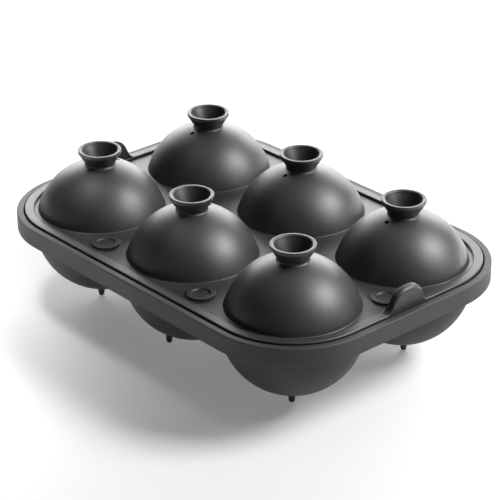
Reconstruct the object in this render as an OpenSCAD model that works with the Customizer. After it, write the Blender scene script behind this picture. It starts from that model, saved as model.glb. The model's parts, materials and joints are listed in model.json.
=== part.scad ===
// Ice ball mold: a silicone tray of round cups, closed by a lid of domes with filling funnels.
// The origin is on the table under the middle of the tray. X runs along the long side, Z up.
// The tray and the lid are two mouldings; each is drawn as the features that it is made of,
// which meet face to face.

/* [Cavities] */
// Diameter of a finished ice ball
ball_d = 50; // [40:1:70]
// Silicone wall of the cups
cup_wall = 2.9; // [2.2:0.1:4]
// Silicone wall of the domes
dome_wall = 2.1; // [1.5:0.1:2.8]
// Gap between neighbouring cups
cup_gap = 2.2; // [1.5:0.1:12]
// Radius of the blend between a dome and the lid's web
dome_fillet = 0.5; // [0.3:0.1:1.6]

/* [Border] */
// Flat strip of the lid between the end domes and the raised border
strip_end = 1.3; // [0.4:0.1:10]
// Flat strip of the lid between the front or back domes and the raised border
strip_side = 1.9; // [0.4:0.1:12]
// Extra radius of the tray's corners over a curve centred on the corner cup
corner_soften = 1.2; // [0:0.1:1.5]
// Width of the lid's raised border
lid_rim_w = 3.8; // [2:0.1:6]
// Open groove between the lid's border and the tray's lip
groove_w = 0.4; // [0.3:0.1:4]
// Thickness of the tray's outer wall
lip_w = 2.9; // [1.6:0.1:5]
// Rounding of the border's and the wall's edges
edge_r = 0.5; // [0.2:0.1:0.7]

/* [Heights] */
// Height of the gap under the cups, which the peg feet fill
foot_h = 6; // [3:0.1:15]
// Thickness of the tray's web between the cups
tray_deck_t = 3.2; // [2:0.1:6]
// Thickness of the lid's web between the domes
lid_deck_t = 4.1; // [2:0.1:6]
// Rise of the tray's lip above its web
lip_rise = 4.4; // [1.5:0.1:8]
// Rise of the lid's border above its web
lid_rim_rise = 1; // [0.8:0.1:5]

/* [Feet] */
// Diameter of a peg foot
foot_d = 2.4; // [1.8:0.1:6]
// Rounding at the end of a peg foot
foot_round = 0.5; // [0.1:0.1:0.8]
// Sideways place of the middle cups' feet from the cup's centre, along the tray
foot_shift_x = 8.3; // [0:0.1:12]
// Sideways place of the middle cups' feet from the cup's centre, across the tray
foot_shift_y = 6.3; // [0:0.1:12]
// Outward place of the end cups' feet from the cup's centre, along the tray
foot_out_x = 1; // [0:0.1:6]
// Outward place of the end cups' feet from the cup's centre, across the tray
foot_out_y = 1.3; // [0:0.1:6]

/* [Funnels] */
// Outer diameter of a funnel's lip
funnel_d = 17.6; // [15:0.1:24]
// Height of a funnel's lip over the top of its dome
funnel_h = 5.7; // [4.5:0.1:12]
// Wall of a funnel at its lip
funnel_wall = 1.7; // [1.2:0.1:2.5]
// Height of the upright face of a funnel's lip
funnel_lip_h = 1.5; // [1.2:0.1:2.5]
// Undercut of the flare below the lip
funnel_undercut = 0.2; // [0:0.1:0.5]
// Outer diameter of a funnel's neck
neck_d = 12.4; // [10:0.1:14]
// Height of the straight part of the neck
neck_h = 0.4; // [0.2:0.1:1]
// Radius of the blend between a neck and its dome
neck_fillet = 0.8; // [0.4:0.1:1.2]
// Bore of a neck
bore_d = 9; // [6:0.1:9.4]
// Diameter of a vent hole
vent_d = 1.8; // [1:0.1:2.4]
// Distance of a vent hole from the axis of its dome
vent_offset = 9; // [8.8:0.1:14]

/* [Studs] */
// Outer diameter of a press stud
stud_d = 11.4; // [9:0.1:14]
// Distance between a stud and the lid's raised border
stud_margin = 2.1; // [0.5:0.1:4]
// Rise of a stud above the lid's web
stud_rise = 1; // [0.8:0.1:4]
// Diameter of the sunken centre of a stud
stud_recess_d = 7.2; // [4:0.1:8]
// Depth of the sunken centre of a stud
stud_recess = 0.5; // [0.2:0.1:0.7]
// Diameter of the plug under a stud
plug_d = 8; // [5:0.1:8.8]
// Gap round a plug in its socket in the tray
plug_clearance = 0.3; // [0.2:0.05:0.6]
// Gap between the end of a plug and the underside of the tray
plug_end_gap = 0.4; // [0:0.1:1]

/* [Tabs] */
// Height of a pull tab over the lid's border, along its outer face
tab_h = 8.9; // [6:0.1:16]
// Width of the flat part of a tab's top
tab_top_w = 5.2; // [2:0.1:12]
// Radius of a tab's shoulders
tab_shoulder_r = 4.5; // [2:0.1:5]
// Slope of a tab's flanks from upright
tab_slope = 21; // [5:1:30]
// Radius of the blend between a tab's flank and the border
tab_fillet = 4; // [2:0.1:5]
// Lean of a tab from upright, outwards
tab_lean = 9; // [0:1:15]
// Strip of the border's flat top that stays bare behind a tab
tab_inset = 0.1; // [0.1:0.1:1]

/* [Hidden] */
$fn = 96;
// Small overlap that lets a cut run clear of a face
bleed = 0.5;
// Height at which a tab's blend is cut off, so that it ends in a firm edge
tab_toe = 0.15;
// Small overlap that lets a tab's flank run into its blend
flank_bite = 0.02;

// Radii of the cavity, and outside of the cups and domes
inner_r = ball_d / 2;
cup_r = inner_r + cup_wall;
dome_r = inner_r + dome_wall;
pitch = 2 * cup_r + cup_gap;
column_x = [-pitch, 0, pitch];
row_y = [-pitch / 2, pitch / 2];
column_name = ["left", "middle", "right"];
row_name = ["front", "back"];

// Heights over the table; the underside of the tray is level with the balls' centres
centre_z = foot_h + cup_r;
part_z = centre_z + tray_deck_t;
lid_z = part_z + lid_deck_t;
lip_z = part_z + lip_rise;
lid_top_z = lid_z + lid_rim_rise;

// The dome's foot: where its blend reaches the lid's web
deck_over_centre = tray_deck_t + lid_deck_t;
blend_z = deck_over_centre + dome_fillet;
dome_foot_r = sqrt(pow(dome_r + dome_fillet, 2) - pow(blend_z, 2));
blend_top = blend_z * dome_r / (dome_r + dome_fillet);

// Plan of the lid and the tray, as half lengths, half widths and corner radii
web_hx = pitch + dome_foot_r + strip_end;
web_hy = pitch / 2 + dome_foot_r + strip_side;
web_corner = dome_foot_r + strip_end + corner_soften;
lid_hx = web_hx + lid_rim_w;
lid_hy = web_hy + lid_rim_w;
lid_corner = web_corner + lid_rim_w;
well_hx = lid_hx + groove_w;
well_hy = lid_hy + groove_w;
well_corner = lid_corner + groove_w;
tray_hx = well_hx + lip_w;
tray_hy = well_hy + lip_w;
tray_corner = well_corner + lip_w;

// The funnel, measured from the centre of its ball
neck_r = neck_d / 2;
bore_r = bore_d / 2;
funnel_r = funnel_d / 2;
mouth_r = funnel_r - funnel_wall;
flare_r = funnel_r - funnel_undercut;
top_z = dome_r + funnel_h;
lip_base_z = top_z - funnel_lip_h;
neck_blend_r = neck_r + neck_fillet;
neck_blend_z = sqrt(pow(dome_r + neck_fillet, 2) - pow(neck_blend_r, 2));
seam_r = neck_blend_r * dome_r / (dome_r + neck_fillet);
seam_z = neck_blend_z * dome_r / (dome_r + neck_fillet);
flare_z = neck_blend_z + neck_h;
lip_round = min(edge_r, funnel_wall / 2 - 0.1);

// Studs stand in the gaps between the domes, along the lid's border
stud_r = stud_d / 2;
stud_x = web_hx - stud_margin - stud_r;
stud_y = web_hy - stud_margin - stud_r;
stud_places = [
    for (x = [-pitch / 2, pitch / 2], y = [-stud_y, stud_y]) [x, y],
    [-stud_x, 0],
    [stud_x, 0],
];
plug_r = plug_d / 2;
plug_l = tray_deck_t - plug_end_gap;

// The tab's flank runs between its shoulder and the blend at its foot, and touches both
tab_t = (lid_rim_w - edge_r - tab_inset) * cos(tab_lean);
tab_shoulder_y = tab_top_w / 2;
tab_shoulder_z = tab_h - tab_shoulder_r;
tab_flank = tab_shoulder_y * cos(tab_slope) + tab_shoulder_z * sin(tab_slope) + tab_shoulder_r;
tab_blend_z = tab_fillet - tab_toe;
tab_blend_y = (tab_flank + tab_fillet - tab_blend_z * sin(tab_slope)) / cos(tab_slope);
tab_root_y = tab_blend_y - sqrt(pow(tab_fillet, 2) - pow(tab_blend_z, 2)) - bleed;
tab_root = tab_t * tan(tab_lean) + bleed;
flank_normal = [cos(tab_slope), sin(tab_slope)];
flank_top = [tab_shoulder_y, tab_shoulder_z] + tab_shoulder_r * flank_normal;
flank_foot = [tab_blend_y, tab_blend_z] - (tab_fillet - flank_bite) * flank_normal;

silicone = "#2e2f32";

function place_name(kind, c, r) = str(kind, "_", row_name[r], "_", column_name[c]);

// Place of a foot from its cup's centre: the middle feet mirrored between the rows, the others outwards
function foot_place(c, r) = c == 1
    ? (2 * r - 1) * [foot_shift_x, foot_shift_y]
    : [(c - 1) * foot_out_x, (2 * r - 1) * foot_out_y];

// Filled rectangle with round corners, about the origin
module round_plan(hx, hy, r) {
    square([2 * (hx - r), 2 * hy], center = true);
    square([2 * hx, 2 * (hy - r)], center = true);
    for (x = [r - hx, hx - r], y = [r - hy, hy - r])
        translate([x, y]) circle(r);
}

// What a rounded corner takes away; the corner is at the origin and inward points into the solid
module corner_cut(r, inward) {
    difference() {
        translate([inward[0] < 0 ? -r : -bleed, inward[1] < 0 ? -r : -bleed]) square(r + bleed);
        translate(inward * r) circle(r);
    }
}

// Upright section of a border, from x = 0 at its outer face, inwards; the inner foot stays square
module border_section(w, h, r) {
    difference() {
        square([w, h]);
        corner_cut(r, [1, 1]);
        translate([0, h]) corner_cut(r, [1, -1]);
        translate([w, h]) corner_cut(r, [-1, -1]);
    }
}

// Sweeps a section round a rectangle with round corners
module round_border(hx, hy, r) {
    corner = [[1, 1], [-1, 1], [-1, -1], [1, -1]];
    for (q = [0 : 3]) {
        run = 2 * (q % 2 == 0 ? hx - r : hy - r);
        translate([corner[q][0] * (hx - r), corner[q][1] * (hy - r), 0]) {
            rotate(q * 90) rotate_extrude(angle = 90) translate([r, 0]) mirror([1, 0]) children();
            rotate((q + 1) * 90) translate([0, run, 0]) rotate([90, 0, 0])
                linear_extrude(run) translate([r, 0]) mirror([1, 0]) children();
        }
    }
}

// Puts its children at the ball's centre of one cavity
module at_cavity(c, r) {
    translate([column_x[c], row_y[r], centre_z]) children();
}

module tray_deck() {
    color(silicone) translate([0, 0, centre_z]) linear_extrude(tray_deck_t) difference() {
        round_plan(well_hx, well_hy, well_corner);
        for (x = column_x, y = row_y)
            translate([x, y]) circle(cup_r);
        for (p = stud_places)
            translate(p) circle(plug_r + plug_clearance);
    }
}

module tray_rim() {
    color(silicone) translate([0, 0, centre_z]) round_border(tray_hx, tray_hy, tray_corner)
        border_section(lip_w, lip_z - centre_z, edge_r);
}

// Lower bowl of a cavity, up to the face that the lid rests on
module cup(c, r) {
    color(silicone) at_cavity(c, r) rotate_extrude() difference() {
        union() {
            intersection() {
                circle(cup_r);
                translate([0, -cup_r]) square([cup_r, cup_r]);
            }
            square([cup_r, tray_deck_t]);
        }
        circle(inner_r);
    }
}

module tray_feet() {
    color(silicone) for (c = [0 : 2], r = [0, 1]) {
        shift = foot_place(c, r);
        difference() {
            translate([column_x[c] + shift[0], row_y[r] + shift[1], 0]) rotate_extrude() difference() {
                square([foot_d / 2, centre_z]);
                translate([foot_d / 2, 0]) corner_cut(foot_round, [-1, 1]);
            }
            at_cavity(c, r) sphere(cup_r);
            at_cavity(c, r) translate([-cup_r, -cup_r, 0]) cube(2 * cup_r);
        }
    }
}

module lid_deck() {
    color(silicone) translate([0, 0, part_z]) linear_extrude(lid_deck_t) difference() {
        round_plan(web_hx, web_hy, web_corner);
        for (x = column_x, y = row_y)
            translate([x, y]) circle(dome_foot_r);
        for (p = stud_places)
            translate(p) circle(plug_r);
    }
}

module lid_rim() {
    color(silicone) translate([0, 0, part_z]) round_border(lid_hx, lid_hy, lid_corner)
        border_section(lid_rim_w, lid_top_z - part_z, edge_r);
}

// Half section of a dome, from the parting face to the seam with its funnel
module dome_section() {
    difference() {
        union() {
            intersection() {
                circle(dome_r);
                translate([0, deck_over_centre]) square(dome_r);
            }
            translate([0, tray_deck_t]) square([dome_foot_r, lid_deck_t]);
            difference() {
                translate([0, deck_over_centre]) square([dome_foot_r, blend_top - deck_over_centre]);
                translate([dome_foot_r, blend_z]) circle(dome_fillet);
            }
        }
        circle(inner_r);
        square([seam_r, 2 * dome_r]);
    }
}

module dome(c, r) {
    toward_middle = r == 0 ? 1 : -1;
    color(silicone) at_cavity(c, r) difference() {
        rotate_extrude() dome_section();
        translate([0, toward_middle * vent_offset, 0]) cylinder(h = 2 * dome_r, d = vent_d);
    }
}

// Half section of a funnel, from the inside of its dome to its lip
module funnel_section() {
    difference() {
        union() {
            intersection() {
                circle(dome_r);
                square([seam_r, dome_r]);
            }
            difference() {
                polygon([[0, seam_z], [seam_r, seam_z], [neck_r, neck_blend_z], [0, neck_blend_z]]);
                translate([neck_blend_r, neck_blend_z]) circle(neck_fillet);
            }
            translate([0, neck_blend_z]) square([neck_r, neck_h]);
            polygon([[0, flare_z], [neck_r, flare_z], [flare_r, lip_base_z], [0, lip_base_z]]);
            translate([0, lip_base_z]) square([funnel_r, funnel_lip_h]);
        }
        circle(inner_r);
        square([bore_r, top_z + bleed]);
        polygon([[0, flare_z], [bore_r, flare_z], [mouth_r, top_z], [0, top_z]]);
        translate([funnel_r, lip_base_z]) corner_cut(funnel_undercut, [-1, 1]);
        translate([funnel_r, top_z]) corner_cut(lip_round, [-1, -1]);
    }
}

module funnel(c, r) {
    color(silicone) at_cavity(c, r) rotate_extrude() funnel_section();
}

// Outline of a tab in its own plane, standing on the lid's border
module tab_outline() {
    difference() {
        union() {
            for (y = [-tab_shoulder_y, tab_shoulder_y])
                translate([y, tab_shoulder_z]) circle(tab_shoulder_r);
            polygon([
                [-tab_blend_y, 0],
                [tab_blend_y, 0],
                flank_foot,
                flank_top,
                [tab_shoulder_y, tab_h],
                [-tab_shoulder_y, tab_h],
                [-flank_top[0], flank_top[1]],
                [-flank_foot[0], flank_foot[1]],
            ]);
        }
        for (y = [-tab_blend_y, tab_blend_y])
            translate([y, tab_blend_z]) circle(tab_fillet);
    }
}

// A tab that stands on the border's flat top, flush with its outer face, and leans outwards
module pull_tab(side) {
    color(silicone) rotate(side > 0 ? 0 : 180) intersection() {
        translate([lid_hx, 0, lid_top_z - tab_toe]) rotate([0, tab_lean, 0]) rotate([90, 0, -90])
            linear_extrude(tab_t) {
                tab_outline();
                translate([-tab_root_y, -tab_root]) square([2 * tab_root_y, tab_root]);
            }
        translate([lid_hx - tab_h, -tab_blend_y, lid_top_z])
            cube([2 * tab_h, 2 * tab_blend_y, 2 * tab_h]);
    }
}

module lid_studs() {
    color(silicone) for (p = stud_places) translate([p[0], p[1], part_z]) rotate_extrude() difference() {
        union() {
            translate([0, -plug_l]) square([plug_r, plug_l + lid_deck_t]);
            translate([0, lid_deck_t]) square([stud_r, stud_rise]);
        }
        translate([0, lid_deck_t + stud_rise - stud_recess])
            square([stud_recess_d / 2, stud_recess + bleed]);
        translate([stud_r, lid_deck_t + stud_rise]) corner_cut(edge_r, [-1, -1]);
    }
}

tray_deck();
tray_rim();
tray_feet();
lid_deck();
lid_rim();
pull_tab(-1);  // pull_tab_left
pull_tab(1);  // pull_tab_right
lid_studs();
for (c = [0 : 2], r = [0, 1]) {
    cup(c, r);
    dome(c, r);
    funnel(c, r);
}
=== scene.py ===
"""Ice ball mold: a dark silicone tray of cups and its lid of domes and funnels, in a white studio.

Every feature of the two mouldings is drawn by its section or outline, spun, extruded and rounded, and
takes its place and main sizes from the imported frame. Lengths are in metres.
"""

import json
import math

import bmesh
import bpy
from mathutils import Matrix, Vector


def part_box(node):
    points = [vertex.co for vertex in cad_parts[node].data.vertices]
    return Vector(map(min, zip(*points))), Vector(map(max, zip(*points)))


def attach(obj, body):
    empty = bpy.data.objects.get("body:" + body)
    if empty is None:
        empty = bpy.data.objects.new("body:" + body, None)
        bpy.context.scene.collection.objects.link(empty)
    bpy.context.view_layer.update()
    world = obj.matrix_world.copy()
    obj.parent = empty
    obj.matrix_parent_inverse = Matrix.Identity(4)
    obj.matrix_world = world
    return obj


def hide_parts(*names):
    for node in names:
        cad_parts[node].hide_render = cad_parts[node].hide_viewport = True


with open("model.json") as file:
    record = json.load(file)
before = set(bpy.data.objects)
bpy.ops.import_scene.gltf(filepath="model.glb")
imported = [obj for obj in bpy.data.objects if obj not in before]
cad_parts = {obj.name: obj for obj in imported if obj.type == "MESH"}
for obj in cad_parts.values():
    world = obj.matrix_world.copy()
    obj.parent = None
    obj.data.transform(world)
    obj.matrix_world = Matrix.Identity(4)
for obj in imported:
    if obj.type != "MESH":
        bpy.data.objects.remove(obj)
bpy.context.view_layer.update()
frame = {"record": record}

bl_info = {
    "name": "Ice Ball Mold",
    "version": (1, 0, 0),
    "blender": (4, 5, 0),
    "location": "3D View > Sidebar > Mold",
    "description": "Models a silicone ice ball mold with a funnel lid, and the studio around it",
    "category": "Add Mesh",
}

MM = 0.001
ROWS = ("front", "back")
COLUMNS = ("left", "middle", "right")

# Fineness of the meshes
ROUND_STEPS = 96
CORNER_STEPS = 32
VENT_STEPS = 32
EDGE_STEPS = 5
BLEND_STEPS = 8
BOWL_STEPS = 40
SEAM_STEPS = 3
WELD = 1e-6
SMOOTH_ANGLE = math.radians(40)

# How much of a face's normal lies along an axis for it to count as square to it, or as looking up
SQUARE = 0.5
LOOKS_UP = 0.01

# Angle, in degrees, at which the rounding under a funnel's lip leaves the flare
FLARE_TO_LIP = -60

# Clouds and grain of the silicone
CLOUD_DETAIL = 4.0
CLOUD_ROUGHNESS = 0.6
CLOUD_LOW = 0.3
CLOUD_HIGH = 0.7
GRAIN_DETAIL = 2.0
GRAIN_STRENGTH = 0.5

# Floor and camera; the sensor is in millimetres
WHITE = (1, 1, 1, 1)
FLOOR_SIZE = 60
PAPER_ROUGHNESS = 0.9
PAPER_GLOSS = 0.1
SENSOR_WIDTH = 36

# Soft boxes: name, size, beam, and place from the mold's middle to the camera's right, away from it and up
# The narrow ones point straight down at the floor, the wide ones at the middle
WIDE_BEAM = math.pi
NARROW_BEAM = math.radians(40)
BOXES = (
    ("key", (0.36, 0.34), WIDE_BEAM, (0.65, -0.09, 0.61)),
    ("back", (1.4, 0.6), WIDE_BEAM, (0.05, 0.98, 0.31)),
    ("top", (1.3, 1.3), WIDE_BEAM, (-0.1, 0.0, 1.2)),
    ("left", (0.5, 0.3), NARROW_BEAM, (-0.4, 0.08, 0.45)),
    ("side", (0.3, 0.3), NARROW_BEAM, (0.42, 0.2, 0.45)),
)


# Measures of the frame

def top_of(node):
    """Highest level of a node."""
    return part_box(node)[1].z


def bottom_of(node):
    """Lowest level of a node."""
    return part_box(node)[0].z


def half_plan(node):
    """Half length and half width of a node that lies about the middle of the mold."""
    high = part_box(node)[1]
    return Vector((high.x, high.y))


def axis_of(node):
    """Foot of a round node's upright axis, on the table."""
    low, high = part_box(node)
    return Vector(((low.x + high.x) / 2, (low.y + high.y) / 2, 0))


CENTRE_Z = bottom_of("tray_deck")
PART_Z = bottom_of("lid_deck")
WEB_Z = top_of("lid_deck")
LIP_Z = top_of("tray_rim")
BORDER_Z = top_of("lid_rim")
TAB_Z = top_of("pull_tab_right")
FUNNEL_Z = top_of("funnel_front_left")
CUP_R = CENTRE_Z - bottom_of("cup_front_left")
FUNNEL_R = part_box("funnel_front_left")[1].x - axis_of("funnel_front_left").x
PITCH = axis_of("cup_front_middle").x - axis_of("cup_front_left").x
WEB = half_plan("lid_deck")
BORDER = half_plan("lid_rim")
WELL = half_plan("tray_deck")
RIM = half_plan("tray_rim")
STUDS = half_plan("lid_studs")


# Sizes, finish and studio that a user may change

def length(name, description, millimetres):
    """A size of the mold, written in millimetres and kept in metres."""
    return bpy.props.FloatProperty(
        name=name, description=description, default=millimetres * MM, min=0, unit="LENGTH", precision=4
    )


def angle(name, description, degrees):
    """An angle, written in degrees and kept in radians."""
    return bpy.props.FloatProperty(
        name=name, description=description, default=math.radians(degrees), subtype="ANGLE"
    )


def share(name, description, value):
    """A number between none and all."""
    return bpy.props.FloatProperty(
        name=name, description=description, default=value, min=0, max=1, subtype="FACTOR"
    )


def power(name, description, watts):
    """Power of a soft box."""
    return bpy.props.FloatProperty(
        name=name, description=description, default=watts, min=0, unit="POWER"
    )


def colour(name, description, value):
    """A colour in linear light."""
    return bpy.props.FloatVectorProperty(
        name=name, description=description, default=value, size=3, min=0, max=1, subtype="COLOR"
    )


class MoldSizes(bpy.types.PropertyGroup):
    """Sizes of the mold's features that the frame's boxes don't give."""

    cup_wall: length("Cup wall", "Silicone wall of the cups", 2.9)
    dome_wall: length("Dome wall", "Silicone wall of the domes", 2.1)
    dome_blend: length("Dome blend", "Radius between a dome and the lid's web", 0.35)
    root_blend: length("Root blend", "Radius between a cup and the tray's underside", 0.8)
    flat_ring: length("Flat ring", "Flat strip of web that a dome carries round its foot", 0.25)
    edge_round: length("Edge rounding", "Rounding of the border, the lip and the tabs' inner edges", 0.5)
    corner_soften: length("Corner softening", "Extra radius of the corners over the corner dome", 1.2)
    neck_d: length("Neck diameter", "Outer diameter of a funnel's neck", 12.4)
    neck_blend: length("Neck blend", "Radius between a neck and its dome", 0.8)
    neck_h: length("Neck height", "Straight part of a neck", 0.4)
    bore_d: length("Bore", "Inner diameter of a neck", 9.0)
    funnel_seam: length("Funnel seam", "Radius at which a funnel's foot ends on its dome", 7.5)
    lip_h: length("Lip height", "Upright face of a funnel's lip", 1.5)
    lip_wall: length("Lip wall", "Wall of a funnel at its lip", 1.7)
    lip_round: length("Lip rounding", "Rounding of a funnel's lip outside", 0.3)
    mouth_round: length("Mouth rounding", "Rounding of a funnel's lip inside", 0.9)
    vent_d: length("Vent diameter", "Diameter of a vent hole beside a funnel", 1.8)
    vent_offset: length("Vent offset", "Distance of a vent hole from its dome's axis", 9.0)
    stud_d: length("Stud diameter", "Outer diameter of a press stud", 11.4)
    stud_recess_d: length("Recess diameter", "Diameter of a stud's sunken centre", 7.2)
    stud_recess: length("Recess depth", "Depth of a stud's sunken centre", 0.5)
    stud_round: length("Stud rounding", "Rounding of a stud's outer edge", 0.25)
    stud_blend: length("Stud blend", "Radius between a stud and the lid's web", 0.1)
    plug_d: length("Plug diameter", "Diameter of the plug under a stud", 8.0)
    plug_clearance: length("Plug clearance", "Gap round a plug in its socket", 0.3)
    foot_d: length("Foot diameter", "Diameter of a peg foot", 2.4)
    foot_draft: length("Foot draft", "How much wider a peg foot is at its root, on each side", 0.5)
    foot_round: length("Foot rounding", "Rounding at the end of a peg foot", 0.9)
    foot_shift_x: length("Foot shift along", "Middle feet off their cups' axes, along the tray", 8.3)
    foot_shift_y: length("Foot shift across", "Middle feet off their cups' axes, across the tray", 6.3)
    foot_out_x: length("Foot reach along", "End feet off their cups' axes, outwards along the tray", 1.0)
    foot_out_y: length("Foot reach across", "End feet off their cups' axes, outwards across the tray", 1.3)
    foot_blend: length("Foot blend", "Radius between an end foot and its cup", 1.5)
    tab_top_w: length("Tab top", "Flat part of a pull tab's top", 2.4)
    tab_shoulder: length("Tab shoulder", "Radius of a tab's shoulders", 6.5)
    tab_slope: angle("Tab slope", "Slope of a tab's flanks from upright", 21.0)
    tab_blend: length("Tab blend", "Radius between a tab's flank and the border", 4.0)
    tab_lean: angle("Tab lean", "Lean of a tab from upright, outwards", 9.0)
    tab_inset: length("Tab inset", "Flat strip of the border behind a tab", 0.1)
    tab_round: length("Tab rounding", "Rounding of a tab's outer edge at its top", 1.5)


class MoldFinish(bpy.types.PropertyGroup):
    """Look of the silicone."""

    dark: colour("Dark", "Silicone where it is darkest", (0.0125, 0.0130, 0.0145))
    light: colour("Light", "Silicone where it is palest", (0.0185, 0.0191, 0.0212))
    smooth: share("Smooth", "Roughness where the moulding is smoothest", 0.47)
    matte: share("Matte", "Roughness where the moulding is most matte", 0.52)
    tray_matte: share("Tray matte", "Roughness that the tray has beyond the lid's", 0.16)
    index: bpy.props.FloatProperty(name="Index", description="Index of refraction", default=1.6)
    cloud_size: length("Cloud size", "Size of the faint clouds in the silicone", 14.0)
    grain_size: length("Grain size", "Size of the fine moulded grain", 0.35)
    grain_depth: length("Grain depth", "Depth of the fine moulded grain", 0.012)


class StudioSettings(bpy.types.PropertyGroup):
    """Floor, light and camera."""

    floor: colour("Floor", "Colour of the white floor", (0.55, 0.55, 0.55))
    floor_glow: share("Floor glow", "Light that the floor adds of its own, so that it shows white", 0.2)
    ambient: share("Ambient", "Even light from all round", 0.03)
    key: power("Key", "Soft box on the right", 13.5)
    back: power("Back", "Soft box behind", 23)
    top: power("Top", "Soft box above", 2.5)
    left: power("Left", "Narrow box over the left floor", 2.3)
    side: power("Side", "Narrow box over the right floor", 14)
    azimuth: angle("Azimuth", "Camera's angle round the mold", 48.56)
    elevation: angle("Elevation", "Camera's angle over the table", 26.61)
    roll: angle("Roll", "Camera's turn about its own view", -0.317)
    distance: length("Distance", "Camera's distance from its aim", 750.5)
    aim_x: length("Aim along", "Where the camera points, along the mold", 51.43)
    aim_y: bpy.props.FloatProperty(
        name="Aim across", description="Where the camera points, across the mold",
        default=-44.45 * MM, unit="LENGTH"
    )
    lens: bpy.props.FloatProperty(
        name="Lens", description="Focal length on a 36 mm sensor, in millimetres", default=147.7
    )


# Shapes

def start_clean():
    """Object mode with nothing selected, so that operators act on the new piece alone."""
    if bpy.context.object is not None and bpy.context.object.mode != "OBJECT":
        bpy.ops.object.mode_set(mode="OBJECT")
    bpy.ops.object.select_all(action="DESELECT")


def arc(centre, radius, start, end, steps):
    """Points of an arc in a section, both ends included; angles are in degrees from the outward axis."""
    angles = [math.radians(start + (end - start) * i / steps) for i in range(steps + 1)]
    return [(centre[0] + radius * math.cos(a), centre[1] + radius * math.sin(a)) for a in angles]


def angle_of(point):
    """Direction of a point of a section from the section's origin, in degrees."""
    return math.degrees(math.atan2(point[1], point[0]))


def draw_line(points):
    """One vertex, extruded through all the points; left in edit mode."""
    start_clean()
    bpy.ops.mesh.primitive_plane_add(size=MM, location=points[0])
    bpy.ops.object.mode_set(mode="EDIT")
    bpy.ops.mesh.select_mode(type="VERT")
    bpy.ops.mesh.merge(type="CENTER")
    for here, there in zip(points, points[1:]):
        bpy.ops.mesh.extrude_vertices_move(TRANSFORM_OT_translate={"value": there - here})


def close_mesh():
    """Welds the open mesh in edit mode, turns its faces outwards and goes back to object mode."""
    bpy.ops.mesh.select_all(action="SELECT")
    bpy.ops.mesh.remove_doubles(threshold=WELD)
    bpy.ops.mesh.normals_make_consistent(inside=False)
    bpy.ops.object.mode_set(mode="OBJECT")
    return bpy.context.object


def spin_section(section, place, level):
    """Solid of revolution: a line drawn along a section and spun round the upright axis at a place."""
    foot = Vector((place.x, place.y, level))
    draw_line([foot + Vector((r, 0, z)) for r, z in section])
    bpy.ops.mesh.select_all(action="SELECT")
    bpy.ops.mesh.spin(steps=ROUND_STEPS, angle=2 * math.pi, center=foot, axis=(0, 0, 1))
    return close_mesh()


def rounded_face(half, corner, level):
    """Flat face with round corners about the middle of the mold; left selected in edit mode."""
    start_clean()
    bpy.ops.mesh.primitive_plane_add(size=2, location=(0, 0, level))
    bpy.ops.transform.resize(value=(half.x, half.y, 1))
    bpy.ops.object.transform_apply(location=True, rotation=True, scale=True)
    bpy.ops.object.mode_set(mode="EDIT")
    bpy.ops.mesh.select_all(action="SELECT")
    bpy.ops.mesh.bevel(affect="VERTICES", offset=corner, segments=CORNER_STEPS)
    bpy.ops.mesh.select_all(action="SELECT")


def select_edges(test):
    """Selects the edges of the mesh in edit mode that pass a test."""
    bpy.ops.mesh.select_mode(type="EDGE")
    bpy.ops.mesh.select_all(action="DESELECT")
    shape = bmesh.from_edit_mesh(bpy.context.object.data)
    for edge in shape.edges:
        if test(edge):
            edge.select_set(True)
    bmesh.update_edit_mesh(bpy.context.object.data)


def border_ring(half, corner, width, bottom, top, rounding):
    """Upright ring with round corners; all its edges are rounded but the inner foot."""
    rounded_face(half, corner, bottom)
    bpy.ops.mesh.inset(thickness=width, use_even_offset=True)
    bpy.ops.mesh.delete(type="FACE")
    bpy.ops.mesh.select_all(action="SELECT")
    bpy.ops.mesh.extrude_region_move(TRANSFORM_OT_translate={"value": (0, 0, top - bottom)})
    bpy.ops.mesh.select_all(action="SELECT")
    bpy.ops.mesh.normals_make_consistent(inside=False)

    def is_rounded(edge):
        sides = [f for f in edge.link_faces if abs(f.normal.z) < SQUARE]
        if len(sides) != 1:
            return False
        place = sides[0].calc_center_median()
        faces_out = sides[0].normal.x * place.x + sides[0].normal.y * place.y > 0
        return faces_out or edge.verts[0].co.z > (bottom + top) / 2

    select_edges(is_rounded)
    bpy.ops.mesh.bevel(offset=rounding, segments=EDGE_STEPS, affect="EDGES", clamp_overlap=False)
    return close_mesh()


def cut(piece, cutters):
    """Takes the cutters' shapes out of a piece and removes them."""
    for cutter in cutters:
        start_clean()
        piece.select_set(True)
        bpy.context.view_layer.objects.active = piece
        hole = piece.modifiers.new("Hole", "BOOLEAN")
        hole.object = cutter
        hole.solver = "EXACT"
        bpy.ops.object.modifier_apply(modifier=hole.name)
        bpy.data.objects.remove(cutter)


def pin(place, radius, bottom, top, steps=ROUND_STEPS):
    """Upright round cutter."""
    start_clean()
    bpy.ops.mesh.primitive_cylinder_add(
        vertices=steps, radius=radius, depth=top - bottom, location=(place.x, place.y, (bottom + top) / 2)
    )
    bpy.ops.object.transform_apply(location=True, rotation=True, scale=True)
    return bpy.context.object


def plate(half, corner, bottom, top, holes):
    """Flat plate with round corners and round holes, given as pairs of place and radius."""
    rounded_face(half, corner, bottom)
    bpy.ops.mesh.extrude_region_move(TRANSFORM_OT_translate={"value": (0, 0, top - bottom)})
    piece = close_mesh()
    over = top - bottom
    cut(piece, [pin(place, radius, bottom - over, top + over) for place, radius in holes])
    return piece


def copy_to(piece, shift):
    """A copy of a piece with its own mesh, moved by a shift."""
    start_clean()
    piece.select_set(True)
    bpy.context.view_layer.objects.active = piece
    bpy.ops.object.duplicate(linked=False)
    bpy.ops.transform.translate(value=shift)
    bpy.ops.object.transform_apply(location=True, rotation=True, scale=True)
    return bpy.context.object


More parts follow.
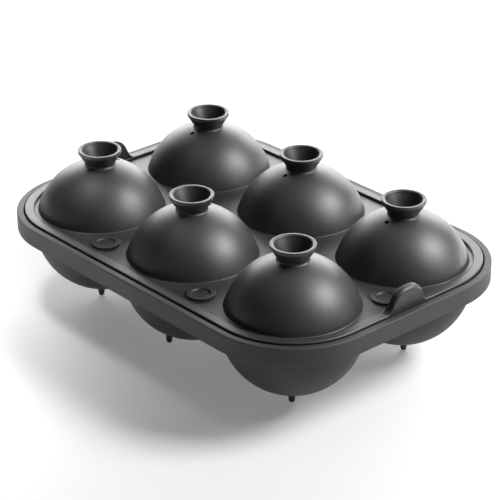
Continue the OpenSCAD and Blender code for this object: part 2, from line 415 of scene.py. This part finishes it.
def join(pieces):
    """One mesh of several solids."""
    start_clean()
    for piece in pieces:
        piece.select_set(True)
    bpy.context.view_layer.objects.active = pieces[0]
    bpy.ops.object.join()
    return bpy.context.object


def shade(piece):
    """Smooth shading that keeps flats flat, with the piece's place in its mesh."""
    start_clean()
    piece.select_set(True)
    bpy.context.view_layer.objects.active = piece
    bpy.ops.object.transform_apply(location=True, rotation=True, scale=True)
    bpy.ops.object.shade_smooth_by_angle(angle=SMOOTH_ANGLE)
    even = piece.modifiers.new("Even shading", "WEIGHTED_NORMAL")
    even.keep_sharp = True
    bpy.ops.object.modifier_apply(modifier=even.name)


def dress(piece, node):
    """Names a finished piece for the node that it stands for, and gives it its body and silicone."""
    body = piece_body(node)
    piece.name = piece.data.name = f"{node}_silicone"
    piece.data.materials.clear()
    piece.data.materials.append(silicone(body))
    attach(piece, body)
    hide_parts(node)


def piece_body(node):
    """Body that a node belongs to."""
    return next(body for body, nodes in frame["record"]["behaviour"]["bodies"].items() if node in nodes)


def cavity_shift(row, column):
    """Way from the front left cavity to another one."""
    return axis_of(f"cup_{row}_{column}") - axis_of("cup_front_left")


def stud_places():
    """Feet of the studs' axes: four between the columns, two at the ends between the rows."""
    radius = bpy.context.scene.mold_sizes.stud_d / 2
    along = STUDS.x - radius
    across = STUDS.y - radius
    sides = [Vector((x, y, 0)) for x in (-PITCH / 2, PITCH / 2) for y in (-across, across)]
    return sides + [Vector((-along, 0, 0)), Vector((along, 0, 0))]


def ball_radius(sizes):
    """Radius of the cavity."""
    return CUP_R - sizes.cup_wall


def dome_radius(sizes):
    """Outer radius of a dome."""
    return ball_radius(sizes) + sizes.dome_wall


def dome_foot(sizes):
    """Radius at which a dome's blend reaches the lid's web."""
    over = WEB_Z - CENTRE_Z + sizes.dome_blend
    return math.sqrt((dome_radius(sizes) + sizes.dome_blend) ** 2 - over**2)


def corner_of(half, sizes):
    """Corner radius of an outline that runs parallel to the web's."""
    return half.x - PITCH + sizes.corner_soften


# Finish

def add_node(tree, kind, **sockets):
    """A shader node with constants set on its own sockets."""
    node = tree.nodes.new(kind)
    for socket, value in sockets.items():
        node.inputs[socket.replace("_", " ")].default_value = value
    return node


def silicone(body):
    """Fine-grained matte silicone with faint clouds of tone; one for each body."""
    name = f"{body}_moulding"
    made = bpy.data.materials.get(name)
    if made is not None:
        return made
    look = bpy.context.scene.mold_finish
    made = bpy.data.materials.new(name)
    made.use_nodes = True
    tree = made.node_tree
    link = tree.links.new
    surface = tree.nodes["Principled BSDF"]
    surface.inputs["IOR"].default_value = look.index
    place = tree.nodes.new("ShaderNodeTexCoord")
    clouds = add_node(
        tree, "ShaderNodeTexNoise", Scale=1 / look.cloud_size, Detail=CLOUD_DETAIL, Roughness=CLOUD_ROUGHNESS
    )
    tone = tree.nodes.new("ShaderNodeValToRGB")
    darkest, palest = tone.color_ramp.elements
    darkest.position = CLOUD_LOW
    darkest.color = (*look.dark, 1)
    palest.position = CLOUD_HIGH
    palest.color = (*look.light, 1)
    extra = look.tray_matte if body == "tray" else 0
    gloss = add_node(
        tree, "ShaderNodeMapRange", From_Min=CLOUD_LOW, From_Max=CLOUD_HIGH,
        To_Min=look.smooth + extra, To_Max=look.matte + extra,
    )
    grain = add_node(tree, "ShaderNodeTexNoise", Scale=1 / look.grain_size, Detail=GRAIN_DETAIL)
    relief = add_node(tree, "ShaderNodeBump", Strength=GRAIN_STRENGTH, Distance=look.grain_depth)
    for noise in (clouds, grain):
        link(place.outputs["Object"], noise.inputs["Vector"])
    link(clouds.outputs["Fac"], tone.inputs["Fac"])
    link(clouds.outputs["Fac"], gloss.inputs["Value"])
    link(grain.outputs["Fac"], relief.inputs["Height"])
    link(tone.outputs["Color"], surface.inputs["Base Color"])
    link(gloss.outputs["Result"], surface.inputs["Roughness"])
    link(relief.outputs["Normal"], surface.inputs["Normal"])
    return made


# Tray

class MOLD_OT_tray_rim(bpy.types.Operator):
    """Upright wall and lip round the tray"""

    bl_idname = "mold.tray_rim"
    bl_label = "Tray Rim"

    def execute(self, context):
        sizes = context.scene.mold_sizes
        rim = border_ring(RIM, corner_of(RIM, sizes), RIM.x - WELL.x, CENTRE_Z, LIP_Z, sizes.edge_round)
        shade(rim)
        dress(rim, "tray_rim")
        return {"FINISHED"}


class MOLD_OT_tray_deck(bpy.types.Operator):
    """Flat web between the cups, with the sockets for the lid's plugs"""

    bl_idname = "mold.tray_deck"
    bl_label = "Tray Deck"

    def execute(self, context):
        sizes = context.scene.mold_sizes
        holes = [(axis_of(f"cup_{row}_{column}"), CUP_R) for row in ROWS for column in COLUMNS]
        socket_r = sizes.plug_d / 2 + sizes.plug_clearance
        holes += [(place, socket_r) for place in stud_places()]
        deck = plate(WELL, corner_of(WELL, sizes), CENTRE_Z, PART_Z, holes)
        shade(deck)
        dress(deck, "tray_deck")
        return {"FINISHED"}


class MOLD_OT_cups(bpy.types.Operator):
    """Lower bowls of the six cavities"""

    bl_idname = "mold.cups"
    bl_label = "Cups"

    def section(self, sizes):
        """From the outer pole, up the bowl and its root, over the parting face and down the inside."""
        blend = sizes.root_blend
        inner_r = ball_radius(sizes)
        deck_t = PART_Z - CENTRE_Z
        root_r = math.sqrt((CUP_R + blend) ** 2 - blend**2)
        meet = math.degrees(math.asin(-blend / (CUP_R + blend)))
        brim = math.degrees(math.asin(deck_t / inner_r))
        outside = arc((0, 0), CUP_R, -90, meet, BOWL_STEPS)
        root = arc((root_r, -blend), blend, meet + 180, 90, BLEND_STEPS)
        inside = arc((0, 0), inner_r, brim, -90, BOWL_STEPS)
        return outside + root[1:] + [(CUP_R, 0), (CUP_R, deck_t)] + inside

    def execute(self, context):
        sizes = context.scene.mold_sizes
        first = spin_section(self.section(sizes), axis_of("cup_front_left"), CENTRE_Z)
        shade(first)
        for row in ROWS:
            for column in COLUMNS:
                shift = cavity_shift(row, column)
                dress(copy_to(first, shift) if shift.length else first, f"cup_{row}_{column}")
        return {"FINISHED"}


class MOLD_OT_tray_feet(bpy.types.Operator):
    """Peg feet under the cups"""

    bl_idname = "mold.tray_feet"
    bl_label = "Tray Feet"

    def shift(self, sizes, row, column):
        """Way of a foot from its cup's axis: outwards, or mirrored between the rows for the middle feet."""
        side = {"front": -1, "back": 1}[row]
        if column == "middle":
            return Vector((side * sizes.foot_shift_x, side * sizes.foot_shift_y, 0))
        outward = {"left": -1, "right": 1}[column]
        return Vector((outward * sizes.foot_out_x, side * sizes.foot_out_y, 0))

    def execute(self, context):
        sizes = context.scene.mold_sizes
        radius = sizes.foot_d / 2
        root_r = radius + sizes.foot_draft
        end = arc((radius - sizes.foot_round, sizes.foot_round), sizes.foot_round, -90, 0, BLEND_STEPS)
        feet = []
        for row in ROWS:
            for column in COLUMNS:
                shift = self.shift(sizes, row, column)
                blend = 0 if column == "middle" else sizes.foot_blend
                level = CENTRE_Z - math.sqrt(CUP_R**2 - shift.length**2)
                sunk = CENTRE_Z - math.sqrt((CUP_R - sizes.cup_wall / 2) ** 2 - shift.length**2)
                root = arc((root_r + blend, level - blend), blend, 180, 90, BLEND_STEPS) if blend else []
                section = [(0, 0)] + end + root + [(root_r + blend, sunk), (0, sunk)]
                feet.append(spin_section(section, axis_of(f"cup_{row}_{column}") + shift, 0))
        group = join(feet)
        shade(group)
        dress(group, "tray_feet")
        return {"FINISHED"}


# Lid

class MOLD_OT_lid_rim(bpy.types.Operator):
    """Raised border of the lid"""

    bl_idname = "mold.lid_rim"
    bl_label = "Lid Rim"

    def execute(self, context):
        sizes = context.scene.mold_sizes
        rim = border_ring(
            BORDER, corner_of(BORDER, sizes), BORDER.x - WEB.x, PART_Z, BORDER_Z, sizes.edge_round
        )
        shade(rim)
        dress(rim, "lid_rim")
        return {"FINISHED"}


class MOLD_OT_lid_deck(bpy.types.Operator):
    """Flat web of the lid between the domes"""

    bl_idname = "mold.lid_deck"
    bl_label = "Lid Deck"

    def execute(self, context):
        sizes = context.scene.mold_sizes
        hole_r = dome_foot(sizes) + sizes.flat_ring
        holes = [(axis_of(f"cup_{row}_{column}"), hole_r) for row in ROWS for column in COLUMNS]
        holes += [(place, sizes.plug_d / 2) for place in stud_places()]
        deck = plate(WEB, corner_of(WEB, sizes), PART_Z, WEB_Z, holes)
        shade(deck)
        dress(deck, "lid_deck")
        return {"FINISHED"}


class MOLD_OT_domes(bpy.types.Operator):
    """Upper halves of the cavities, each with its vent hole towards the middle of the mold"""

    bl_idname = "mold.domes"
    bl_label = "Domes"

    def section(self, sizes):
        """From the foot's flat ring up the blend and the dome, then down the inside to the parting face."""
        blend = sizes.dome_blend
        inner_r = ball_radius(sizes)
        outer_r = dome_radius(sizes)
        part = PART_Z - CENTRE_Z
        web = WEB_Z - CENTRE_Z
        foot_r = dome_foot(sizes)
        rim_r = foot_r + sizes.flat_ring
        meet = math.degrees(math.asin((web + blend) / (outer_r + blend)))
        crown = math.degrees(math.acos(sizes.funnel_seam / outer_r))
        crown_in = math.degrees(math.acos(sizes.funnel_seam / inner_r))
        brim = math.degrees(math.asin(part / inner_r))
        root = arc((foot_r, web + blend), blend, 270, meet + 180, BLEND_STEPS)
        outside = arc((0, 0), outer_r, meet, crown, BOWL_STEPS)
        inside = arc((0, 0), inner_r, crown_in, brim, BOWL_STEPS)
        return [(rim_r, part), (rim_r, web)] + root + outside[1:] + inside + [(rim_r, part)]

    def execute(self, context):
        sizes = context.scene.mold_sizes
        for row, inward in zip(ROWS, (1, -1)):
            axis = axis_of(f"cup_{row}_left")
            first = spin_section(self.section(sizes), axis, CENTRE_Z)
            vent = axis + Vector((0, inward * sizes.vent_offset, 0))
            cut(first, [pin(vent, sizes.vent_d / 2, WEB_Z, FUNNEL_Z, VENT_STEPS)])
            shade(first)
            for column in COLUMNS:
                shift = cavity_shift(row, column) - cavity_shift(row, "left")
                dress(copy_to(first, shift) if shift.length else first, f"dome_{row}_{column}")
        return {"FINISHED"}


class MOLD_OT_funnels(bpy.types.Operator):
    """Filling funnels with flared, rounded lips"""

    bl_idname = "mold.funnels"
    bl_label = "Funnels"

    def section(self, sizes):
        """From the seam on the dome up the neck, over the lip and down the bore into the dome."""
        inner_r = ball_radius(sizes)
        outer_r = dome_radius(sizes)
        top = FUNNEL_Z - CENTRE_Z
        neck_r = sizes.neck_d / 2
        bore_r = sizes.bore_d / 2
        mouth_r = FUNNEL_R - sizes.lip_wall
        blend = sizes.neck_blend
        lip = sizes.lip_round
        blend_z = math.sqrt((outer_r + blend) ** 2 - (neck_r + blend) ** 2)
        meet = angle_of((neck_r + blend, blend_z))
        seam = math.degrees(math.acos(sizes.funnel_seam / outer_r))
        seam_in = math.degrees(math.acos(sizes.funnel_seam / inner_r))
        bore_in = math.degrees(math.acos(bore_r / inner_r))
        flare_z = blend_z + sizes.neck_h
        foot = arc((0, 0), outer_r, seam, meet, SEAM_STEPS)
        neck = arc((neck_r + blend, blend_z), blend, meet + 180, 180, BLEND_STEPS)
        lip_base = top - sizes.lip_h
        outer_edge = arc((FUNNEL_R - lip, top - lip), lip, 0, 90, EDGE_STEPS)
        mouth = sizes.mouth_round
        inner_edge = arc((mouth_r + mouth, top - mouth), mouth, 90, 180, BLEND_STEPS)
        lower_edge = arc((FUNNEL_R - lip, lip_base + lip), lip, FLARE_TO_LIP, 0, EDGE_STEPS)
        inside = arc((0, 0), inner_r, bore_in, seam_in, SEAM_STEPS)
        return (
            foot + neck[1:] + [(neck_r, flare_z)] + lower_edge + outer_edge + inner_edge
            + [(bore_r, flare_z)] + inside + foot[:1]
        )

    def execute(self, context):
        sizes = context.scene.mold_sizes
        first = spin_section(self.section(sizes), axis_of("cup_front_left"), CENTRE_Z)
        shade(first)
        for row in ROWS:
            for column in COLUMNS:
                shift = cavity_shift(row, column)
                dress(copy_to(first, shift) if shift.length else first, f"funnel_{row}_{column}")
        return {"FINISHED"}


class MOLD_OT_pull_tabs(bpy.types.Operator):
    """Tabs that grow out of the border on the short sides and lean outwards"""

    bl_idname = "mold.pull_tabs"
    bl_label = "Pull Tabs"

    def outline(self, sizes, thick):
        """Flat top, round shoulders, sloping flanks and foot blends, as pairs of place across and height."""
        slope = sizes.tab_slope
        sunk = thick * math.tan(sizes.tab_lean)
        height = (TAB_Z - BORDER_Z - thick * math.sin(sizes.tab_lean)) / math.cos(sizes.tab_lean)
        shoulder = (sizes.tab_top_w / 2, height - sizes.tab_shoulder)
        flank = shoulder[0] * math.cos(slope) + shoulder[1] * math.sin(slope) + sizes.tab_shoulder
        blend_z = sizes.tab_blend - sunk
        blend_y = (flank + sizes.tab_blend - blend_z * math.sin(slope)) / math.cos(slope)
        tilt = math.degrees(slope)
        foot = arc((blend_y, blend_z), sizes.tab_blend, 270, 180 + tilt, 2 * BLEND_STEPS)
        over = arc(shoulder, sizes.tab_shoulder, tilt, 90, 2 * BLEND_STEPS)
        right = [(blend_y, -sunk - sizes.edge_round)] + foot + over
        return right + [(-y, z) for y, z in reversed(right)]

    def execute(self, context):
        sizes = context.scene.mold_sizes
        thick = (BORDER.x - WEB.x - sizes.edge_round - sizes.tab_inset) * math.cos(sizes.tab_lean)
        foot = Vector((BORDER.x, 0, BORDER_Z))
        draw_line([foot + Vector((0, y, z)) for y, z in self.outline(sizes, thick)])
        bpy.ops.mesh.select_all(action="SELECT")
        bpy.ops.mesh.edge_face_add()
        bpy.ops.mesh.extrude_region_move(TRANSFORM_OT_translate={"value": (-thick, 0, 0)})
        bpy.ops.mesh.select_all(action="SELECT")
        bpy.ops.mesh.normals_make_consistent(inside=False)
        self.mark_edges(sizes)
        bpy.ops.transform.rotate(value=-sizes.tab_lean, orient_axis="Y", center_override=foot)
        right = close_mesh()
        soft = right.modifiers.new("Rounded edges", "BEVEL")
        soft.limit_method = "WEIGHT"
        soft.width = sizes.tab_round
        soft.segments = BLEND_STEPS
        soft.use_clamp_overlap = False
        bpy.ops.object.modifier_apply(modifier=soft.name)
        left = copy_to(right, Vector())
        bpy.ops.transform.rotate(value=math.pi, orient_axis="Z", center_override=(0, 0, 0))
        for tab, node in ((right, "pull_tab_right"), (left, "pull_tab_left")):
            shade(tab)
            dress(tab, node)
        return {"FINISHED"}

    def mark_edges(self, sizes):
        """Marks how much each edge between a broad face and the outline is rounded, apart from the root."""
        tab = bpy.context.object
        shape = bmesh.from_edit_mesh(tab.data)
        weight = shape.edges.layers.float.new("bevel_weight_edge")
        least = sizes.edge_round / sizes.tab_round
        for edge in shape.edges:
            broad = [f for f in edge.link_faces if abs(f.normal.x) > SQUARE]
            upward = all(f.normal.z > LOOKS_UP for f in edge.link_faces if f not in broad)
            if len(broad) != 1 or not upward:
                continue
            level = tab.location.z + (edge.verts[0].co.z + edge.verts[1].co.z) / 2
            rise = min(max((level - BORDER_Z) / (TAB_Z - BORDER_Z), 0), 1)
            faces_out = broad[0].normal.x > 0
            edge[weight] = least + (1 - least) * rise if faces_out else least
        bmesh.update_edit_mesh(tab.data)


class MOLD_OT_lid_studs(bpy.types.Operator):
    """Round press studs with a sunken centre on top and a plug below"""

    bl_idname = "mold.lid_studs"
    bl_label = "Lid Studs"

    def section(self, sizes):
        """From the plug's end up to the web, out to the side and over the rim to the sunken centre."""
        plug_r = sizes.plug_d / 2
        stud_r = sizes.stud_d / 2
        recess_r = sizes.stud_recess_d / 2
        edge = sizes.stud_round
        inner_edge = sizes.stud_recess / 2
        floor_r = recess_r - inner_edge
        blend = sizes.stud_blend
        web = WEB_Z - PART_Z
        top = top_of("lid_studs") - PART_Z
        end = bottom_of("lid_studs") - PART_Z
        root = arc((stud_r + blend, web + blend), blend, 270, 180, BLEND_STEPS)
        outer = arc((stud_r - edge, top - edge), edge, 0, 90, EDGE_STEPS)
        inner = arc((recess_r + inner_edge, top - inner_edge), inner_edge, 90, 180, EDGE_STEPS)
        floor = top - sizes.stud_recess
        return (
            [(0, end), (plug_r, end), (plug_r, web)] + root + outer + inner + [(floor_r, floor), (0, floor)]
        )

    def execute(self, context):
        sizes = context.scene.mold_sizes
        places = stud_places()
        first = spin_section(self.section(sizes), places[0], PART_Z)
        group = join([first] + [copy_to(first, place - places[0]) for place in places[1:]])
        shade(group)
        dress(group, "lid_studs")
        return {"FINISHED"}


# Studio

class MOLD_OT_studio(bpy.types.Operator):
    """White floor, soft light and the camera"""

    bl_idname = "mold.studio"
    bl_label = "Studio"

    def floor_finish(self, studio):
        """White paper that glows a little to the eye and keeps the shadow."""
        paper = bpy.data.materials.new("white_paper")
        paper.use_nodes = True
        tree = paper.node_tree
        link = tree.links.new
        surface = tree.nodes["Principled BSDF"]
        surface.inputs["Base Color"].default_value = (*studio.floor, 1)
        surface.inputs["Roughness"].default_value = PAPER_ROUGHNESS
        surface.inputs["Specular IOR Level"].default_value = PAPER_GLOSS
        surface.inputs["Emission Color"].default_value = WHITE
        rays = tree.nodes.new("ShaderNodeLightPath")
        seen = tree.nodes.new("ShaderNodeMath")
        seen.operation = "MAXIMUM"
        seen_through = tree.nodes.new("ShaderNodeMath")
        seen_through.operation = "MAXIMUM"
        glow = tree.nodes.new("ShaderNodeMath")
        glow.operation = "MULTIPLY"
        glow.inputs[1].default_value = studio.floor_glow
        link(rays.outputs["Is Camera Ray"], seen.inputs[0])
        link(rays.outputs["Is Glossy Ray"], seen.inputs[1])
        link(seen.outputs[0], seen_through.inputs[0])
        link(rays.outputs["Is Transmission Ray"], seen_through.inputs[1])
        link(seen_through.outputs[0], glow.inputs[0])
        link(glow.outputs[0], surface.inputs["Emission Strength"])
        return paper

    def lamp(self, name, watts, size, beam, place, aim):
        """Soft box that points at a place."""
        data = bpy.data.lights.new(name, "AREA")
        data.energy = watts
        data.shape = "RECTANGLE"
        data.size, data.size_y = size
        data.spread = beam
        lamp = bpy.data.objects.new(name, data)
        bpy.context.scene.collection.objects.link(lamp)
        lamp.location = place
        lamp.rotation_euler = (aim - place).to_track_quat("-Z", "Y").to_euler()

    def add_floor(self, studio):
        """Wide floor under the mold."""
        start_clean()
        bpy.ops.mesh.primitive_plane_add(size=FLOOR_SIZE, location=(0, 0, 0))
        floor = bpy.context.object
        floor.name = floor.data.name = "studio_floor"
        floor.data.materials.append(self.floor_finish(studio))

    def add_light(self, scene, studio):
        """Faint even light all round, and the soft boxes."""
        world = bpy.data.worlds.new("studio_light")
        world.use_nodes = True
        sky = world.node_tree.nodes["Background"]
        sky.inputs["Strength"].default_value = studio.ambient
        sky.inputs["Color"].default_value = WHITE
        scene.world = world
        right = Vector((math.cos(studio.azimuth), math.sin(studio.azimuth), 0))
        away = Vector((-math.sin(studio.azimuth), math.cos(studio.azimuth), 0))
        middle = Vector((0, 0, CENTRE_Z))
        for name, size, beam, (aside, behind, above) in BOXES:
            under = middle + right * aside + away * behind
            aim = under if beam == NARROW_BEAM else middle
            self.lamp(f"{name}_box", getattr(studio, name), size, beam, under + Vector((0, 0, above)), aim)

    def add_camera(self, scene, studio):
        """Camera that looks down at the mold from its front right."""
        lens = bpy.data.cameras.new("camera")
        lens.lens = studio.lens
        lens.sensor_width = SENSOR_WIDTH
        camera = bpy.data.objects.new("camera", lens)
        scene.collection.objects.link(camera)
        flat = math.cos(studio.elevation)
        to_camera = Vector(
            (math.sin(studio.azimuth) * flat, -math.cos(studio.azimuth) * flat, math.sin(studio.elevation))
        )
        aim = Vector((studio.aim_x, studio.aim_y, FUNNEL_Z))
        camera.location = aim + to_camera * studio.distance
        look = (-to_camera).to_track_quat("-Z", "Y").to_matrix() @ Matrix.Rotation(studio.roll, 3, "Z")
        camera.rotation_euler = look.to_euler()
        scene.camera = camera

    def execute(self, context):
        scene = context.scene
        self.add_floor(scene.mold_studio)
        self.add_light(scene, scene.mold_studio)
        self.add_camera(scene, scene.mold_studio)
        scene.view_settings.view_transform = "Standard"
        return {"FINISHED"}


class MOLD_PT_panel(bpy.types.Panel):
    """Lists the mold's pieces, sizes, finish and studio"""

    bl_idname = "MOLD_PT_panel"
    bl_label = "Ice Ball Mold"
    bl_space_type = "VIEW_3D"
    bl_region_type = "UI"
    bl_category = "Mold"

    def draw(self, context):
        column = self.layout.column()
        for step in STEPS:
            column.operator(step.bl_idname)
        for group in (context.scene.mold_sizes, context.scene.mold_finish, context.scene.mold_studio):
            box = self.layout.box()
            for name in group.__annotations__:
                box.prop(group, name)


STEPS = (
    MOLD_OT_tray_rim,
    MOLD_OT_tray_deck,
    MOLD_OT_cups,
    MOLD_OT_tray_feet,
    MOLD_OT_lid_rim,
    MOLD_OT_lid_deck,
    MOLD_OT_domes,
    MOLD_OT_funnels,
    MOLD_OT_pull_tabs,
    MOLD_OT_lid_studs,
    MOLD_OT_studio,
)
CLASSES = (MoldSizes, MoldFinish, StudioSettings, *STEPS, MOLD_PT_panel)


def register():
    for each in CLASSES:
        bpy.utils.register_class(each)
    bpy.types.Scene.mold_sizes = bpy.props.PointerProperty(type=MoldSizes)
    bpy.types.Scene.mold_finish = bpy.props.PointerProperty(type=MoldFinish)
    bpy.types.Scene.mold_studio = bpy.props.PointerProperty(type=StudioSettings)


def unregister():
    del bpy.types.Scene.mold_studio
    del bpy.types.Scene.mold_finish
    del bpy.types.Scene.mold_sizes
    for each in reversed(CLASSES):
        bpy.utils.unregister_class(each)


def main():
    register()
    bpy.ops.mold.tray_rim()
    bpy.ops.mold.tray_deck()
    bpy.ops.mold.cups()
    bpy.ops.mold.tray_feet()
    bpy.ops.mold.lid_rim()
    bpy.ops.mold.lid_deck()
    bpy.ops.mold.domes()
    bpy.ops.mold.funnels()
    bpy.ops.mold.pull_tabs()
    bpy.ops.mold.lid_studs()
    bpy.ops.mold.studio()


if __name__ == "__main__":
    main()
